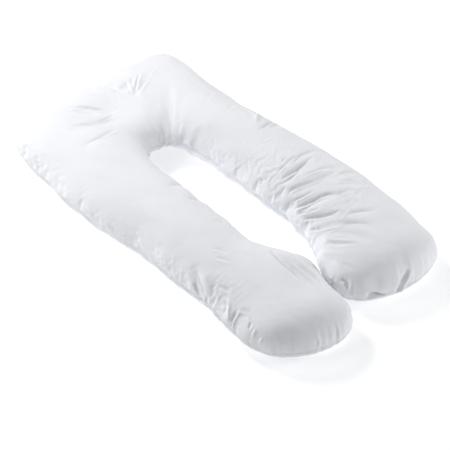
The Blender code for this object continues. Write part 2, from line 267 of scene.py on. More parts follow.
# Picked in the photograph
CREASES = {
    Place.RIGHT_SLOPE: (
        SeenCrease(((282.9, 162.1), (286.4, 156.8)), 0.0035, 0.003, -1),
        SeenCrease(((286.4, 165.0), (292.1, 159.3), (296.4, 156.1)), 0.0045, 0.004, -1, HIDDEN_RUN),
        SeenCrease(
            ((292.1, 172.9), (298.6, 168.6), (303.6, 165.7), (306.4, 162.1), (309.3, 159.6)),
            0.0055, 0.007, -1, HIDDEN_RUN,
        ),
        SeenCrease(
            ((295.7, 160.0), (300.0, 156.4), (305.7, 153.6), (314.3, 150.7), (321.0, 150.2)),
            0.0045, 0.0035, -1, HIDDEN_RUN,
        ),
        SeenCrease(((296.4, 178.6), (300.7, 175.0)), 0.0035, 0.003, -1),
        SeenCrease(
            ((301.4, 187.0), (305.7, 185.3), (315.0, 182.9), (323.6, 178.6), (330.7, 175.7),
             (337.1, 172.9)),
            0.0065, 0.008, -1, HIDDEN_RUN,
        ),
        SeenCrease(
            ((317.1, 171.4), (322.0, 169.4), (327.9, 168.2)), 0.0035, 0.0025, -1, HIDDEN_RUN,
        ),
        SeenCrease(((329.3, 169.3), (335.0, 168.0), (341.4, 167.1)), 0.0035, 0.002, -1),
        SeenCrease(((339.3, 175.7), (343.6, 173.0), (351.4, 172.1)), 0.0045, 0.0035, -1),
        SeenCrease(((305.0, 196.4), (311.4, 193.2), (315.0, 190.0)), 0.004, 0.004, -1, HIDDEN_RUN),
        SeenCrease(
            ((306.4, 204.3), (315.0, 200.7), (320.7, 197.5), (326.4, 195.7), (332.9, 195.4)),
            0.005, 0.007, -1, HIDDEN_RUN,
        ),
        SeenCrease(
            ((337.1, 196.4), (342.9, 193.2), (347.1, 192.5), (354.0, 192.3)), 0.004, 0.0035, -1,
        ),
        SeenCrease(((338.0, 199.5), (345.0, 196.0), (349.5, 193.5)), 0.0035, -0.002, 0),
        SeenCrease(((310.7, 211.4), (315.0, 210.4), (320.0, 208.2)), 0.0045, 0.007, -1, HIDDEN_RUN),
        SeenCrease(
            ((315.0, 218.2), (323.6, 217.1), (332.1, 214.6), (341.5, 210.2)),
            0.0045, 0.005, -1, HIDDEN_RUN,
        ),
        SeenCrease(
            ((321.4, 228.6), (330.7, 226.8), (339.3, 224.3)), 0.0045, 0.0045, -1, HIDDEN_RUN,
        ),
    ),
    Place.RIGHT_CROWN: (
        SeenCrease(((350.0, 213.9), (359.3, 212.1), (371.0, 211.2)), 0.0055, 0.003, -1),
        SeenCrease(
            ((326.4, 231.4), (335.7, 227.9), (345.0, 224.3), (353.6, 223.6), (370.0, 225.0)),
            0.0038, 0.004, -1,
        ),
        SeenCrease(((325.0, 235.7), (335.7, 237.1), (350.7, 238.9)), 0.0055, 0.0045, -1),
        SeenCrease(((325.0, 243.2), (339.0, 244.0), (358.6, 243.9)), 0.0055, 0.0025, -1),
        SeenCrease(((335.0, 182.0), (342.0, 181.2), (352.0, 181.0)), 0.0045, 0.0018, -1),
        SeenCrease(((346.4, 204.3), (350.7, 201.4)), 0.004, 0.0015, -1),
        SeenCrease(((343.0, 262.0), (348.0, 265.0), (353.4, 269.0)), 0.005, 0.0022, 1),
    ),
    Place.RIGHT_SIDE: (
        SeenCrease(((322.0, 249.0), (333.0, 250.0), (345.0, 252.0)), 0.0055, 0.0025, -1),
        SeenCrease(((325.0, 254.0), (331.0, 259.0), (337.0, 263.0)), 0.0055, 0.003, 1),
        SeenCrease(((323.4, 268.6), (329.1, 279.9), (336.1, 288.3)), 0.006, 0.005, 1),
    ),
    Place.RIGHT_END: (
        SeenCrease(
            ((341.0, 279.5), (345.5, 281.5), (347.3, 286.0), (347.0, 291.0)), 0.0055, 0.007, -1,
        ),
        SeenCrease(
            ((366.5, 296.3), (371.5, 295.0), (377.5, 294.8), (383.5, 296.8)), 0.0095, 0.014, 0,
        ),
        SeenCrease(
            ((396.0, 295.0), (399.4, 289.5), (403.2, 282.0), (406.0, 275.0), (408.0, 268.5)),
            0.009, 0.0115, -1,
        ),
    ),
    Place.LEFT_INNER: (
        SeenCrease(
            ((271.0, 251.0), (277.0, 256.5), (283.0, 261.5), (288.0, 266.0), (293.5, 270.0),
             (299.0, 274.5), (306.0, 279.5), (314.0, 286.0)),
            0.0075, 0.0125, 1,
        ),
        SeenCrease(
            ((281.0, 252.5), (286.5, 256.5), (293.0, 260.5), (300.0, 265.5), (308.0, 271.5),
             (316.0, 277.5), (326.0, 286.5)),
            0.006, 0.0095, 1,
        ),
        SeenCrease(
            ((293.0, 251.5), (303.0, 257.5), (312.0, 264.5), (322.0, 273.0)), 0.005, 0.0065, 1,
        ),
        SeenCrease(((164.0, 181.2), (168.5, 183.4), (172.5, 187.6)), 0.0055, 0.004, -1),
        SeenCrease(((188.0, 197.5), (193.0, 201.0)), 0.005, 0.003, -1),
        SeenCrease(((203.0, 206.0), (208.0, 210.0)), 0.005, 0.003, 1),
        SeenCrease(((222.2, 214.2), (228.0, 219.0), (234.0, 225.0)), 0.006, 0.0045, -1),
        SeenCrease(((216.0, 222.0), (226.0, 224.0)), 0.006, 0.003, -1),
    ),
    Place.HEAD: (
        SeenCrease(((119.3, 72.7), (106.7, 74.7), (96.0, 82.7)), 0.007, 0.0075, 1),
        SeenCrease(((120.0, 91.0), (113.0, 87.5), (105.0, 85.5), (96.0, 84.5)), 0.0055, 0.007, 1),
        SeenCrease(((124.0, 80.5), (128.0, 85.0), (131.5, 90.5), (134.5, 97.0)), 0.005, 0.0055, 1),
        SeenCrease(
            ((130.5, 78.0), (132.6, 85.0), (134.3, 91.0), (135.6, 97.0)), 0.0045, 0.0055, -1,
        ),
        SeenCrease(((142.3, 72.5), (139.8, 79.5), (137.8, 86.0), (136.7, 92.0)), 0.0045, -0.003, 0),
        SeenCrease(((139.2, 74.0), (137.1, 81.0), (135.9, 88.0), (135.6, 95.0)), 0.005, 0.0055, -1),
        SeenCrease(((147.0, 80.0), (142.5, 85.5), (139.0, 91.0), (137.0, 97.0)), 0.006, 0.004, 1),
        SeenCrease(
            ((114.0, 112.0), (101.0, 110.3), (88.7, 107.7), (80.0, 107.3), (69.0, 108.5)),
            0.0055, 0.0095, 1,
        ),
        SeenCrease(((95.0, 114.5), (80.0, 112.2), (68.0, 111.6)), 0.006, 0.004, 1),
        SeenCrease(
            ((114.0, 115.5), (103.0, 119.8), (90.7, 124.3), (82.0, 124.7), (71.0, 126.0)),
            0.0055, 0.009, 1,
        ),
        SeenCrease(
            ((115.0, 130.0), (100.0, 138.0), (94.0, 141.0), (86.2, 146.7)), 0.007, 0.0055, 1,
        ),
        SeenCrease(((146.0, 79.0), (150.0, 72.0), (157.0, 66.0)), 0.008, 0.0022, -1),
    ),
    Place.RIGHT_SHOULDER: (
        SeenCrease(((238.8, 108.0), (247.0, 111.0), (255.4, 116.3)), 0.007, 0.003, 1),
        SeenCrease(((255.4, 123.0), (256.6, 118.0), (259.2, 112.0)), 0.005, -0.004, 0),
        SeenCrease(
            ((262.0, 129.0), (269.5, 124.0), (275.0, 122.0), (280.0, 126.0)), 0.005, 0.004, -1,
        ),
        SeenCrease(((206.0, 100.0), (214.0, 92.5)), 0.008, 0.0022, -1),
        SeenCrease(((226.0, 112.0), (236.0, 104.0)), 0.008, 0.0022, -1),
    ),
    Place.LEFT_BEND: (
        SeenCrease(((171.1, 274.4), (170.6, 280.0)), 0.0045, -0.0025, 0),
        SeenCrease(
            ((197.8, 276.7), (200.6, 284.4), (203.3, 294.4), (206.7, 302.2)), 0.0045, -0.0032, 0,
        ),
        SeenCrease(((194.5, 282.0), (196.9, 288.0), (200.4, 297.0)), 0.0055, 0.0035, 0),
        SeenCrease(
            ((228.3, 298.9), (229.1, 307.8), (228.3, 316.7), (227.2, 322.2)), 0.0045, -0.0032, 0,
        ),
        SeenCrease(((225.4, 300.0), (226.0, 308.0), (225.2, 315.0)), 0.0055, 0.003, 0),
        SeenCrease(((237.8, 312.2), (232.8, 318.9), (230.6, 327.8)), 0.005, 0.0045, 1),
        SeenCrease(
            ((235.6, 314.4), (239.5, 312.8), (243.3, 313.3), (248.0, 316.0), (249.4, 320.0)),
            0.0055, -0.0032, 0,
        ),
        SeenCrease(((250.6, 322.0), (249.8, 329.0)), 0.005, 0.0035, 0),
        SeenCrease(((256.1, 329.4), (252.8, 336.1)), 0.0045, -0.0025, 0),
        SeenCrease(((262.8, 338.3), (258.9, 343.3)), 0.0045, -0.0025, 0),
        SeenCrease(((212.0, 249.0), (219.0, 250.0), (225.6, 253.0)), 0.0055, 0.0025, -1),
        SeenCrease(((217.0, 258.2), (223.0, 259.5), (229.2, 262.4)), 0.0055, 0.002, -1),
        SeenCrease(((219.8, 286.3), (225.0, 288.5), (231.0, 293.3)), 0.006, 0.0025, -1),
    ),
    Place.LEFT_END: (
        SeenCrease(((317.2, 338.9), (316.7, 347.8)), 0.0055, 0.0025, 1),
    ),
    Place.LEFT_OUTER: (
        SeenCrease(((138.4, 247.0), (148.2, 256.8)), 0.007, 0.0035, 0),
        SeenCrease(((155.0, 262.0), (161.0, 266.5)), 0.006, 0.003, 0),
    ),
}

# Where the cloth has more creases, so that its rings stand closer
CROWDS = (
    Crowd(0.08, 0.22, 0.7),
    Crowd(0.50, 0.35, 0.3),
    Crowd(0.88, 0.34, 1.5),
)


def srgb(code: str) -> tuple[float, float, float, float]:
    """Turn an sRGB hex colour into the linear colour that the shaders take.

    Args:
        code: Six hex digits after a hash sign.

    Returns:
        Red, green, blue and alpha, linear, with alpha 1.
    """
    parts = np.array([int(code[i : i + 2], 16) for i in (1, 3, 5)]) / 255.0
    linear = np.where(parts <= 0.04045, parts / 12.92, ((parts + 0.055) / 1.055) ** 2.4)
    return (*linear.tolist(), 1.0)


def unit(vectors: np.ndarray) -> np.ndarray:
    """Return the vectors along the last axis, each with length 1."""
    return vectors / np.maximum(np.linalg.norm(vectors, axis=-1, keepdims=True), TINY)


def bell(*offsets: np.ndarray) -> np.ndarray:
    """Return the bell curve exp(-(x^2 + y^2 + ...)) of offsets in their own widths."""
    return np.exp(-sum(offset**2 for offset in offsets))


def spots(plan: np.ndarray, rows: tuple[Spot, ...]) -> np.ndarray:
    """Sum round spots over the plan, each a two-way bell curve times its height.

    Args:
        plan: Points whose first two coordinates are x and y.
        rows: The spots.

    Returns:
        One sum for each point.
    """
    total = np.zeros(plan.shape[:-1])
    for spot in rows:
        x = (plan[..., 0] - spot.x) / spot.radius_x
        y = (plan[..., 1] - spot.y) / spot.radius_y
        total += spot.height * bell(x, y)
    return total


def superellipse(
    turn: np.ndarray, fullness: np.ndarray | float
) -> tuple[np.ndarray, np.ndarray]:
    """Walk round a superellipse with half widths of 1.

    Across is |cos|^(2/n) and up is |sin|^(2/n), with the signs of the cosine and the sine.

    Args:
        turn: Angles round it.
        fullness: The exponent n; 2 is an ellipse, and more is fuller.

    Returns:
        The coordinates across and up.
    """
    power = 2.0 / fullness
    cosine, sine = np.cos(turn), np.sin(turn)
    return (
        np.sign(cosine) * np.abs(cosine) ** power,
        np.sign(sine) * np.abs(sine) ** power,
    )


def run_along(line: np.ndarray) -> np.ndarray:
    """Return how far along a line of points each of them lies."""
    steps = np.linalg.norm(np.diff(line, axis=0), axis=1)
    return np.concatenate(([0.0], np.cumsum(steps)))


def outward(grid: np.ndarray) -> np.ndarray:
    """Find the direction out of the body at each point of a closed grid.

    It is the cross product of the step round the section and the step along the U.

    Args:
        grid: Points shaped (rings, points around, 3); the points around close on themselves.

    Returns:
        Unit normals of the same shape.
    """
    around = np.roll(grid, -1, axis=1) - np.roll(grid, 1, axis=1)
    return unit(np.cross(around, np.gradient(grid, axis=0)))


def cubic(rows: np.ndarray, place: np.ndarray, closed: bool) -> np.ndarray:
    """Read a table between its rows with a cubic through each four neighbours.

    The value is the Catmull-Rom blend of rows i-1, i, i+1 and i+2 at the fraction t.

    Args:
        rows: Values, shaped (count, ...).
        place: Row numbers to read at, with fractions.
        closed: True where the last row is followed by the first.

    Returns:
        The values at each place, shaped (places, ...).
    """
    count = len(rows)
    start = np.floor(place).astype(int)
    if not closed:
        start = np.clip(start, 0, count - 2)
    t = (place - start).reshape(-1, *([1] * (rows.ndim - 1)))
    picks = start[:, None] + np.arange(-1, 3)[None, :]
    picks = picks % count if closed else np.clip(picks, 0, count - 1)
    a, b, c, d = (rows[picks[:, k]] for k in range(4))
    return b + 0.5 * t * (
        c - a + t * (2.0 * a - 5.0 * b + 4.0 * c - d + t * (3.0 * (b - c) + d - a))
    )


def add_object(name: str, data: bpy.types.ID) -> bpy.types.Object:
    """Put a mesh, a light or a camera into the scene under a name and return its object."""
    made = bpy.data.objects.new(name, data)
    bpy.context.scene.collection.objects.link(made)
    return made


def add_aimed(
    name: str,
    data: bpy.types.ID,
    place: tuple[float, float, float],
    aim: tuple[float, float, float],
) -> bpy.types.Object:
    """Put a light or a camera into the scene, turned to face a point.

    Args:
        name: Name of the object.
        data: The light or the camera.
        place: Where it stands.
        aim: The point that it faces.

    Returns:
        The object.
    """
    made = add_object(name, data)
    made.location = place
    ahead = Vector(aim) - Vector(place)
    made.rotation_euler = ahead.to_track_quat("-Z", "Y").to_euler()
    return made


def add_node(
    tree: bpy.types.NodeTree,
    kind: str,
    settings: dict[str | int, Any] | None = None,
    links: dict[str | int, bpy.types.NodeSocket] | None = None,
) -> bpy.types.Node:
    """Add one node with its settings and links.

    Args:
        tree: The node tree that gets the node.
        kind: The node's type name in Blender.
        settings: Property names, or input names or numbers, and their values.
        links: Input names or numbers, and the output that feeds each.

    Returns:
        The new node.
    """
    node = tree.nodes.new(kind)
    for name, value in (settings or {}).items():
        if isinstance(name, str) and hasattr(node, name):
            setattr(node, name, value)
        else:
            node.inputs[name].default_value = value
    for name, output in (links or {}).items():
        tree.links.new(output, node.inputs[name])
    return node


@dataclass
class FilledShape:
    """The filled pillow as a function of the distance along the U and the turn round it."""

    under_share: float = 1.2
    reach_left: float = 0.150
    reach_right: float = 0.140
    fold_full: float = 0.080
    fold_foot: float = 0.030
    end_roundness: float = 2.4
    under_fullness: float = 1.8
    fold_end_share: float = 0.35
    broad_share: float = 0.55
    panel_lift: float = 0.001
    fine_steps: int = 4000
    gather_lengths: tuple[float, ...] = (0.081, 0.113, 0.197)
    gather_heights: tuple[float, ...] = (0.0010, 0.0011, 0.0016)
    gather_fade: float = 6.0
    seam_phase: float = 0.7
    edge_phase: float = 1.9
    table: np.ndarray = field(default_factory=lambda: np.array(RIBS))

    def knots(self) -> np.ndarray:
        """Return how far along the middle of the U each rib lies."""
        return run_along((self.table[:, 0:2] + self.table[:, 2:4]) / 2.0)

    def stations(self, per_end: int, between: int, crowded: bool) -> np.ndarray:
        """Choose where the rings stand.

        At an arm's end ring i stands at reach * (1 - cos(angle i)), so that the rings crowd
        at the tip. Between the ends they stand at even steps of the summed density, which is
        1 plus a bell curve for each crowded stretch.

        Args:
            per_end: Rings in each round end.
            between: Rings between the two ends.
            crowded: Whether the rings crowd where the cloth has more creases.

        Returns:
            Distances along the U.
        """
        length = self.knots()[-1]
        turn = np.linspace(0.0, np.pi / 2.0, per_end + 1)[1:]
        near = self.reach_left * (1.0 - np.cos(turn))
        far = length - self.reach_right * (1.0 - np.cos(turn[::-1]))
        fine = np.linspace(near[-1], far[0], self.fine_steps)
        density = np.ones_like(fine)
        for crowd in CROWDS if crowded else ():
            density += crowd.extra * bell((fine - crowd.middle * length) / crowd.reach)
        summed = np.concatenate(([0.0], np.cumsum((density[1:] + density[:-1]) / 2.0)))
        even = np.linspace(0.0, summed[-1], between + 2)[1:-1]
        return np.concatenate((near, np.interp(even, summed, fine), far))

    def ribs(self, distance: np.ndarray) -> np.ndarray:
        """Read the rib table at each distance along the U.

        A cubic Hermite curve runs through each column, with the slope at a rib taken from its
        two neighbours.

        Args:
            distance: Distances along the U.

        Returns:
            One row of rib values for each distance.
        """
        knots = self.knots()
        slopes = np.gradient(self.table, knots, axis=0)
        left = np.clip(np.searchsorted(knots, distance, side="right") - 1, 0, len(knots) - 2)
        span = (knots[left + 1] - knots[left])[:, None]
        t = (distance[:, None] - knots[left][:, None]) / span
        return (
            (2 * t**3 - 3 * t**2 + 1) * self.table[left]
            + (t**3 - 2 * t**2 + t) * span * slopes[left]
            + (3 * t**2 - 2 * t**3) * self.table[left + 1]
            + (t**3 - t**2) * span * slopes[left + 1]
        )

    def share(self, distance: np.ndarray) -> np.ndarray:
        """Find the share of full size at each distance, from 0 at an arm's tip to 1.

        It is (1 - (1 - r)^p)^(1/p), with r the share of the end's reach and p its roundness.

        Args:
            distance: Distances along the U.

        Returns:
            Shares of full size.
        """
        left = np.clip(distance / self.reach_left, 0.0, 1.0)
        right = np.clip((self.knots()[-1] - distance) / self.reach_right, 0.0, 1.0)
        reach = np.minimum(left, right)
        return (1.0 - (1.0 - reach) ** self.end_roundness) ** (1.0 / self.end_roundness)

    def gather(self, distance: np.ndarray, phase: float) -> np.ndarray:
        """Sum three sine waves along the U, the rise and fall of the gathered edge.

        Args:
            distance: Distances along the U.
            phase: Phase of the first wave; each next wave has twice the phase.

        Returns:
            Heights in metres.
        """
        total = np.zeros_like(distance)
        for length, height in zip(self.gather_lengths, self.gather_heights):
            total += height * np.sin(2.0 * np.pi * distance / length + phase)
            phase *= 2.0
        return total

    def sections(self, distance: np.ndarray, turn: np.ndarray) -> np.ndarray:
        """Work out the filled rings before any fold.

        A ring is a superellipse between its two seam points, times the half width and the
        crown above the seam, or a fixed share of the seam's height below it, and times the
        share of full size near an arm's end.

        Args:
            distance: Distances along the U.
            turn: Angles round the section, from the outer seam over the top.

        Returns:
            Points shaped (rings, points around, 3).
        """
        ribs = self.ribs(distance)
        outer, inner, seam_z = ribs[:, 0:2], ribs[:, 2:4], ribs[:, 4:5]
        crown, fullness = ribs[:, 5:6], ribs[:, 6:7]
        share = self.share(distance)[:, None]
        half = (outer - inner) / 2.0 * share
        top = np.sin(turn)[None, :] >= 0.0
        full = np.where(top, fullness, self.under_fullness)
        across, upward = superellipse(turn[None, :], full)
        at_seam = np.abs(across) ** self.gather_fade * share
        rise = self.gather(distance, self.seam_phase)[:, None] * at_seam
        z = seam_z + upward * np.where(top, crown, self.under_share * seam_z) * share + rise
        half_width = np.linalg.norm(half, axis=1)[:, None]
        bulge = self.gather(distance, self.edge_phase)[:, None] / half_width * at_seam
        stretch = across * (1.0 + bulge)
        plan = ((outer + inner) / 2.0)[:, None, :] + stretch[..., None] * half[:, None, :]
        return np.concatenate((plan, z[..., None]), axis=2)

    def folded(self, distance: np.ndarray, turn: np.ndarray) -> np.ndarray:
        """Press the hollows, the broad folds and the flat underside into the rings.

        A hollow is a two-way bell curve and a fold is a bell curve of the distance from its
        line; both push in along the surface's own normal and fade down the sides. The folds
        get a share of their depth here, and the single creases on them get the rest.

        Args:
            distance: Distances along the U.
            turn: Angles round the section.

        Returns:
            Points shaped (rings, points around, 3).
        """
        grid = self.sections(distance, turn)
        plan = grid[..., 0:2]
        depth = spots(plan, HOLLOWS)
        for fold in FOLDS:
            start = np.array((fold.start_x, fold.start_y))
            run = np.array((fold.end_x, fold.end_y)) - start
            along = np.clip(((plan - start) @ run) / (run @ run), 0.0, 1.0)
            nearest = start + along[..., None] * run
            away = np.linalg.norm(plan - nearest, axis=-1) / fold.half_width
            taper = self.fold_end_share + (1.0 - self.fold_end_share) * np.sin(np.pi * along)
            depth += self.broad_share * fold.depth * taper * bell(away)
        span = self.fold_full - self.fold_foot
        above = np.clip((grid[..., 2] - self.fold_foot) / span, 0.0, 1.0)
        grid = grid - outward(grid) * (above * depth)[..., None]
        grid[..., 2] = np.maximum(grid[..., 2], 0.0)
        return grid

    def tips(self) -> np.ndarray:
        """Return the two points that close the arms' ends, at the middle of the end ribs."""
        ends = self.table[[0, -1]]
        return np.column_stack(((ends[:, 0:2] + ends[:, 2:4]) / 2.0, ends[:, 4]))

    def flat_cut(self, distance: np.ndarray, turn: np.ndarray) -> np.ndarray:
        """Lay the cloth of each ring out flat, as the two panels were cut.

        The length over the top panel and the length under the lower one are laid along the
        rib in plan, half to each side of its middle, so that the seams meet.

        Args:
            distance: Distances along the U.
            turn: Angles round the section; the first is 0 and pi is among them.

        Returns:
            Points shaped (rings, points around, 3), each panel lifted clear of the other.
        """
        rings = self.sections(distance, turn)
        rings[..., 2] = np.maximum(rings[..., 2], 0.0)
        ribs = self.ribs(distance)
        outer, inner = ribs[:, 0:2], ribs[:, 2:4]
        half = int(np.argmin(np.abs(turn - np.pi)))
        steps = np.linalg.norm(np.roll(rings, -1, axis=1) - rings, axis=2)
        start = np.zeros((len(distance), 1))
        over = np.concatenate((start, np.cumsum(steps[:, :half], axis=1)), axis=1)
        below = np.concatenate((start, np.cumsum(steps[:, half:], axis=1)), axis=1)
        width = (over[:, -1:] + below[:, -1:]) / 2.0
        place = np.zeros(steps.shape)
        place[:, : half + 1] = (0.5 - over / over[:, -1:]) * width
        place[:, half:] = (below[:, :-1] / below[:, -1:] - 0.5) * width
        run = unit(outer - inner)
        flat = np.zeros_like(rings)
        flat[..., 0:2] = ((outer + inner) / 2.0)[:, None, :] + place[..., None] * run[:, None, :]
        flat[:, 1:half, 2] = self.panel_lift
        flat[:, half + 1 :, 2] = -self.panel_lift
        return flat


@dataclass
class ClothGrid:
    """A closed grid of cloth points with the two tips that close the arms' ends."""

    points: np.ndarray
    tips: np.ndarray

    def vertices(self) -> np.ndarray:
        """Return all points in one list, the two tips last."""
        return np.concatenate((self.points.reshape(-1, 3), self.tips))

    def faces(self) -> tuple[np.ndarray, np.ndarray]:
        """Return the four-sided faces and the triangles round the tips, all facing out."""
        rings, around = self.points.shape[:2]
        start = np.arange(rings - 1)[:, None] * around
        here = np.arange(around)[None, :]
        there = (here + 1) % around
        corners = (start + here, start + there, start + around + there, start + around + here)
        quads = np.stack(np.broadcast_arrays(*corners), axis=-1).reshape(-1, 4)
        first, last = rings * around, rings * around + 1
        end = (rings - 1) * around
        head = np.column_stack((here[0], np.full(around, first), there[0]))
        tail = np.column_stack((end + there[0], np.full(around, last), end + here[0]))
        return quads, np.concatenate((head, tail))

    def mesh(self, name: str) -> bpy.types.Mesh:
        """Put the grid into a new closed mesh.

        Args:
            name: Name of the mesh.

        Returns:
            The mesh, smooth shaded.
        """
        quads, triangles = self.faces()
        mesh = bpy.data.meshes.new(name)
        mesh.from_pydata(self.vertices().tolist(), [], quads.tolist() + triangles.tolist())
        mesh.shade_smooth()
        return mesh


@dataclass
class CushionSimulation:
    """Swells the sewn cover with its filling, so that the spare cloth gathers."""

    shape: FilledShape
    rings_per_end: int = 20
    rings_between: int = 290
    points_around: int = 110
    frames: int = 16
    quality: int = 5
    pressure: float = 5.0
    cloth_mass: float = 0.3
    thread_stiffness: float = 15.0
    shear_stiffness: float = 5.0
    bending_stiffness: float = 0.8
    seam_shrink: float = 0.06
    spare_cloth: float = 0.025
    spare_at_seam: float = 0.45
    seam_reach: float = 0.055
    seam_band: float = 0.010
    hold_loose: float = 0.10
    hold_tight: float = 0.45
    hold_seam: float = 0.85
    floor_band: float = 0.002
    furthest: float = 0.012

    def slack(self, grid: np.ndarray) -> np.ndarray:
        """Find how loose the cloth is at each point.

        It is the sum of the table's bell curves, and a band along the seam where the sewing
        has drawn the cloth in.

        Args:
            grid: Points shaped (rings, points around, 3).

        Returns:
            Looseness from 0 to 1.
        """
        total = np.minimum(spots(grid, SLACKS), 1.0)
        gap = seam_gap(grid, self.points_around // 2)
        total += self.spare_at_seam * bell(gap / self.seam_reach)
        return np.clip(total, 0.0, 1.0)

    def weights(self, grid: np.ndarray) -> tuple[np.ndarray, np.ndarray]:
        """Work out how firmly each point is held and how much its cloth shrinks.

        The underside on the floor is held fast. Elsewhere the hold falls from tight to loose
        with the slack, and the seam keeps its line. The seam has the most shrinkage, and the
        rest stretches with the slack.

        Args:
            grid: Points shaped (rings, points around, 3).

        Returns:
            The hold and the shrink weight of each point.
        """
        slack = self.slack(grid)
        gap = seam_gap(grid, self.points_around // 2)
        at_seam = bell(gap / self.seam_band)
        hold = self.hold_tight + (self.hold_loose - self.hold_tight) * slack
        hold = np.maximum(hold, self.hold_seam * at_seam)
        hold = np.where(grid[..., 2] < self.floor_band, 1.0, hold)
        neutral = self.spare_cloth / (self.spare_cloth + self.seam_shrink)
        shrink = np.maximum(at_seam, neutral * (1.0 - slack))
        return hold, shrink

    def run(self) -> tuple[np.ndarray, ClothGrid]:
        """Run the simulation and read the moved cloth back.

        A movement m is kept down to furthest * tanh(m / furthest).

        Returns:
            The rings' distances along the U, and how far each point and tip has moved.
        """
        distance = self.shape.stations(self.rings_per_end, self.rings_between, crowded=False)
        turn = 2.0 * np.pi * np.arange(self.points_around) / self.points_around
        cover = ClothGrid(self.shape.folded(distance, turn), self.shape.tips())
        flat_tips = self.shape.tips() * np.array((1.0, 1.0, 0.0))
        cut = ClothGrid(self.shape.flat_cut(distance, turn), flat_tips)
        before = cover.vertices()
        cloth = add_object("cloth_trial", cover.mesh("cloth_trial"))
        self.hold_and_cut(cloth, cover, cut)
        self.set_cloth(cloth)
        for step in range(1, self.frames + 1):
            bpy.context.scene.frame_set(step)
        evaluated = cloth.evaluated_get(bpy.context.evaluated_depsgraph_get())
        after = np.empty(before.size, dtype=np.float32)
        evaluated.data.vertices.foreach_get("co", after)
        mesh = cloth.data
        bpy.data.objects.remove(cloth, do_unlink=True)
        bpy.data.meshes.remove(mesh)
        bpy.context.scene.frame_set(1)
        move = after.reshape(-1, 3) - before
        length = np.linalg.norm(move, axis=1, keepdims=True)
        move *= self.furthest * np.tanh(length / self.furthest) / np.maximum(length, TINY)
        return distance, ClothGrid(move[:-2].reshape(cover.points.shape), move[-2:])

    def hold_and_cut(self, cloth: bpy.types.Object, cover: ClothGrid, cut: ClothGrid) -> None:
        """Give the cloth its holding and shrinking groups and its flat cut.

        Args:
            cloth: The object that is simulated.
            cover: The filled grid.
            cut: The flat grid, which gives the cloth its own size.
        """
        hold, shrink = self.weights(cover.points)
        tip_hold = [self.hold_seam] * 2
        for name, values, tips in (("hold", hold, tip_hold), ("shrink", shrink, [1.0, 1.0])):
            group = cloth.vertex_groups.new(name=name)
            rounded = np.round(np.append(values.ravel(), tips), 2)
            for value in np.unique(rounded):
                group.add(np.flatnonzero(rounded == value).tolist(), float(value), "REPLACE")
        cloth.shape_key_add(name="filled")
        key = cloth.shape_key_add(name="cut")
        key.data.foreach_set("co", cut.vertices().astype(np.float32).ravel())

    def set_cloth(self, cloth: bpy.types.Object) -> None:
        """Add the cloth simulation with its pressure, and no gravity.

        Args:
            cloth: The object that is simulated.
        """
        modifier = cloth.modifiers.new("filling", "CLOTH")
        settings = modifier.settings
        settings.quality = self.quality
        settings.mass = self.cloth_mass
        settings.tension_stiffness = self.thread_stiffness
        settings.compression_stiffness = self.thread_stiffness
        settings.shear_stiffness = self.shear_stiffness
        settings.bending_stiffness = self.bending_stiffness
        settings.use_pressure = True
        settings.uniform_pressure_force = self.pressure
        settings.effector_weights.gravity = 0.0
        settings.vertex_group_mass = "hold"
        settings.pin_stiffness = 1.0
        settings.vertex_group_shrink = "shrink"
        settings.shrink_max = self.seam_shrink
        settings.shrink_min = -self.spare_cloth
        settings.rest_shape_key = cloth.data.shape_keys.key_blocks["cut"]
        modifier.collision_settings.use_collision = False
        modifier.point_cache.frame_start = 1
        modifier.point_cache.frame_end = self.frames


def around_lengths(grid: np.ndarray) -> tuple[np.ndarray, np.ndarray]:
    """Measure along each ring, from the outer seam over the top and back below.

    Args:
        grid: Points shaped (rings, points around, 3).

    Returns:
        The length up to each point, and each ring's whole length as a column.
    """
    steps = np.linalg.norm(np.roll(grid, -1, axis=1) - grid, axis=2)
    total = np.cumsum(steps, axis=1)
    return total - steps, total[:, -1:]


def seam_gap(grid: np.ndarray, inner: int) -> np.ndarray:
    """Measure along the cloth from each point to the nearer seam.

    The outer seam is the first point of a ring.

    Args:
        grid: Points shaped (rings, points around, 3).
        inner: Number of the point on each ring that lies on the inner seam.

    Returns:
        Distances in metres.
    """
    length, whole = around_lengths(grid)
    to_inner = np.abs(length - length[:, inner][:, None])
    return np.minimum(np.minimum(length, whole - length), to_inner)


